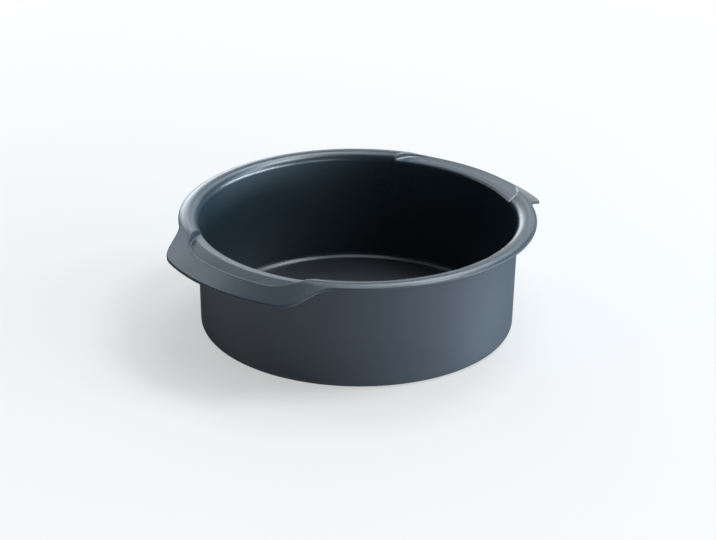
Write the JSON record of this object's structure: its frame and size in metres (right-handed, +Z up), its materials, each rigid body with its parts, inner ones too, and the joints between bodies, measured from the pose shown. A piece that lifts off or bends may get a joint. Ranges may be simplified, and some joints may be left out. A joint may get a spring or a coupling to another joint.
{
  "type": "round cake tin",
  "caption": "Deep round cake tin of coated sheet steel with a rounded rim, opposite handles pressed out of the flange, and a loose base that rests on a foot ledge and lifts out.",
  "frame": {"origin": "centre of the underside, on the plane that the tin stands on", "axes": "+X through the middle of one handle, +Z up along the tin's axis"},
  "size_m": [0.2568, 0.2272, 0.075],
  "materials": {
    "shell_coating": "dark blue-grey semi-matt non-stick coating with a fine grain, over sheet steel",
    "base_coating": "dark grey semi-matt non-stick coating with a fine grain, over sheet steel"
  },
  "bodies": {
    "tin": {"tin_shell": "shell_coating"},
    "base": {"loose_base": "base_coating"}
  },
  "joints": [
    {"name": "base_lift", "type": "slide", "parent": "tin", "child": "base", "axis": [0, 0, 1], "range_m": [0, 0.08]}
  ]
}
